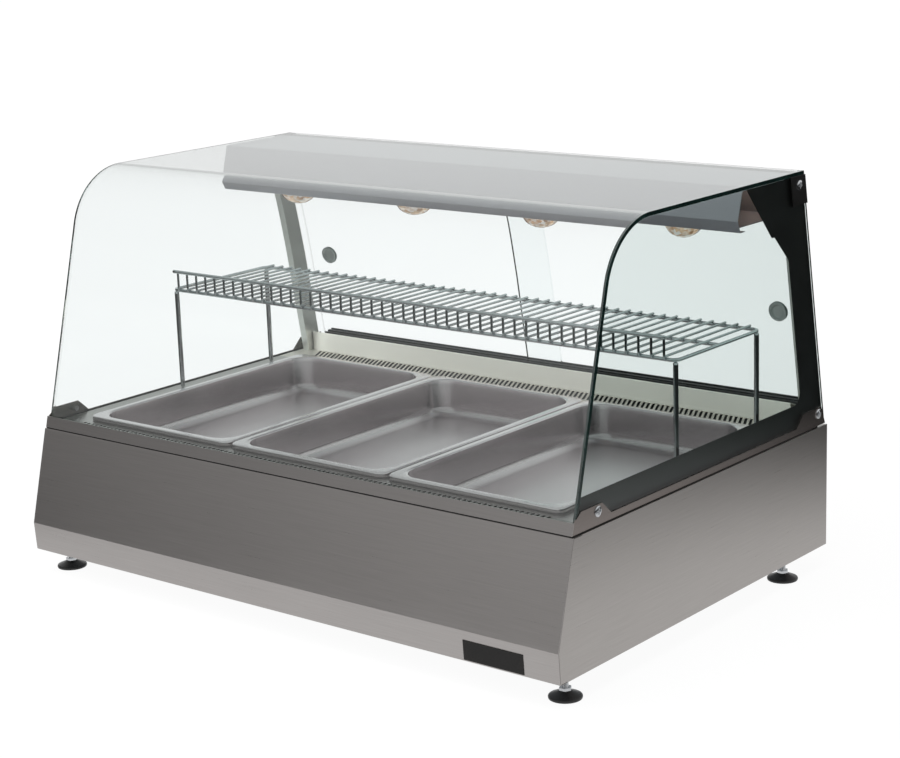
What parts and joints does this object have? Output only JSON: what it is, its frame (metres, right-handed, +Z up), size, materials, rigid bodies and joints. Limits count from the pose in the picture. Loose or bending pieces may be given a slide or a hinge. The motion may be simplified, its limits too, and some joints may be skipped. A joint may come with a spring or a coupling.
{
  "type": "bain marie",
  "caption": "Countertop heated food display: curved front glass over lift-out pans in a heated well, wire shelf, lamp canopy, and sliding glass doors at the rear.",
  "frame": {"origin": "middle of the footprint, on the surface that the feet stand on", "axes": "+Z up, -Y towards the customer's side with the curved glass, +X towards its right-hand end"},
  "size_m": [1.1, 0.75, 0.67],
  "materials": {
    "brushed_stainless": "brushed along the panel",
    "pan_stainless": "satin",
    "canopy_stainless": "satin",
    "galvanised_steel": "dull",
    "plated_fixings": "bright zinc plate",
    "clear_glass": "clear, toughened",
    "lamp_glass": "clear, faceted",
    "black_painted_steel": "gloss black",
    "chromed_wire": "bright",
    "chromed_pull": "bright",
    "black_plastic": "moulded, gloss",
    "black_track": "extruded, satin",
    "red_rocker": "moulded, gloss",
    "amber_lens": "translucent",
    "gloss_badge": "gloss, bare",
    "seal_rubber": "matt",
    "white_ceramic": "unglazed",
    "element_sheath": "heat-darkened",
    "copper_bulb": "drawn copper",
    "mineral_wool": "pressed wool board",
    "terminal_plastic": "moulded"
  },
  "bodies": {
    "cabinet": {"badge_plate": "gloss_badge", "base_plate": "galvanised_steel", "cable_gland": "black_plastic", "canopy_cover": "canopy_stainless", "deck_seal": "seal_rubber", "door_track_bottom": "black_track", "door_track_top": "black_track", "end_glass_left": "clear_glass", "end_glass_right": "clear_glass", "end_strips": "brushed_stainless", "end_trim_right": "black_painted_steel", "foot_nuts": "galvanised_steel", "front_glass": "clear_glass", "front_ledge": "brushed_stainless", "front_panel": "brushed_stainless", "glass_nuts": "plated_fixings", "glass_screws": "plated_fixings", "heat_lamps": "lamp_glass", "heat_well": "galvanised_steel", "heating_elements": "element_sheath", "lamp_tray": "canopy_stainless", "lampholders": "white_ceramic", "pan_bearers": "brushed_stainless", "pilot_lamp": "amber_lens", "rear_panel": "brushed_stainless", "rear_posts": "brushed_stainless", "rear_sill": "brushed_stainless", "rear_vent_strip": "brushed_stainless", "side_ledges": "brushed_stainless", "side_panel_left": "brushed_stainless", "side_panel_right": "brushed_stainless", "switch_housings": "black_plastic", "terminal_block": "terminal_plastic", "thermostat_body": "black_plastic", "thermostat_bulb": "copper_bulb", "top_clips": "brushed_stainless", "well_clips": "galvanised_steel", "well_lagging": "mineral_wool"},
    "door_left": {"door_left": "clear_glass", "finger_pull_left": "chromed_pull"},
    "door_right": {"door_right": "clear_glass", "finger_pull_right": "chromed_pull"},
    "pan_left": {"pan_left": "pan_stainless"},
    "pan_middle": {"pan_middle": "pan_stainless"},
    "pan_right": {"pan_right": "pan_stainless"},
    "wire_shelf": {"shelf_rack": "chromed_wire", "shelf_fence": "chromed_wire", "shelf_legs": "chromed_wire"},
    "thermostat_dial": {"thermostat_knob": "black_plastic", "thermostat_shaft": "plated_fixings"},
    "heat_switch": {"heat_rocker": "red_rocker"},
    "lamp_switch": {"lamp_rocker": "red_rocker"},
    "foot_front_left": {"foot_pad_front_left": "black_plastic", "foot_stud_front_left": "plated_fixings"},
    "foot_front_right": {"foot_pad_front_right": "black_plastic", "foot_stud_front_right": "plated_fixings"},
    "foot_rear_left": {"foot_pad_rear_left": "black_plastic", "foot_stud_rear_left": "plated_fixings"},
    "foot_rear_right": {"foot_pad_rear_right": "black_plastic", "foot_stud_rear_right": "plated_fixings"}
  },
  "joints": [
    {"name": "door_left_slide", "type": "slide", "parent": "cabinet", "child": "door_left", "axis": [1, 0, 0], "range_m": [0, 0.499]},
    {"name": "door_right_slide", "type": "slide", "parent": "cabinet", "child": "door_right", "axis": [-1, 0, 0], "range_m": [0, 0.499]},
    {"name": "pan_left_lift", "type": "slide", "parent": "cabinet", "child": "pan_left", "axis": [0, 0, 1], "range_m": [0, 0.1]},
    {"name": "pan_middle_lift", "type": "slide", "parent": "cabinet", "child": "pan_middle", "axis": [0, 0, 1], "range_m": [0, 0.1]},
    {"name": "pan_right_lift", "type": "slide", "parent": "cabinet", "child": "pan_right", "axis": [0, 0, 1], "range_m": [0, 0.1]},
    {"name": "shelf_lift", "type": "slide", "parent": "cabinet", "child": "wire_shelf", "axis": [0, 0, 1], "range_m": [0, 0.08]},
    {"name": "thermostat_turn", "type": "hinge", "parent": "cabinet", "child": "thermostat_dial", "pos_m": [0.295, 0.35, 0.095], "axis": [0, -1, 0], "range_deg": [0, 270]},
    {"name": "heat_switch_rock", "type": "hinge", "parent": "cabinet", "child": "heat_switch", "pos_m": [0.185, 0.346, 0.095], "axis": [1, 0, 0], "range_deg": [-18, 0]},
    {"name": "lamp_switch_rock", "type": "hinge", "parent": "cabinet", "child": "lamp_switch", "pos_m": [0.145, 0.346, 0.095], "axis": [1, 0, 0], "range_deg": [-18, 0]},
    {"name": "foot_front_left_turn", "type": "hinge", "parent": "cabinet", "child": "foot_front_left", "pos_m": [-0.522, -0.322, 0], "axis": [0, 0, 1], "continuous": true},
    {"name": "foot_front_right_turn", "type": "hinge", "parent": "cabinet", "child": "foot_front_right", "pos_m": [0.522, -0.322, 0], "axis": [0, 0, 1], "continuous": true},
    {"name": "foot_rear_left_turn", "type": "hinge", "parent": "cabinet", "child": "foot_rear_left", "pos_m": [-0.522, 0.282, 0], "axis": [0, 0, 1], "continuous": true},
    {"name": "foot_rear_right_turn", "type": "hinge", "parent": "cabinet", "child": "foot_rear_right", "pos_m": [0.522, 0.282, 0], "axis": [0, 0, 1], "continuous": true}
  ]
}
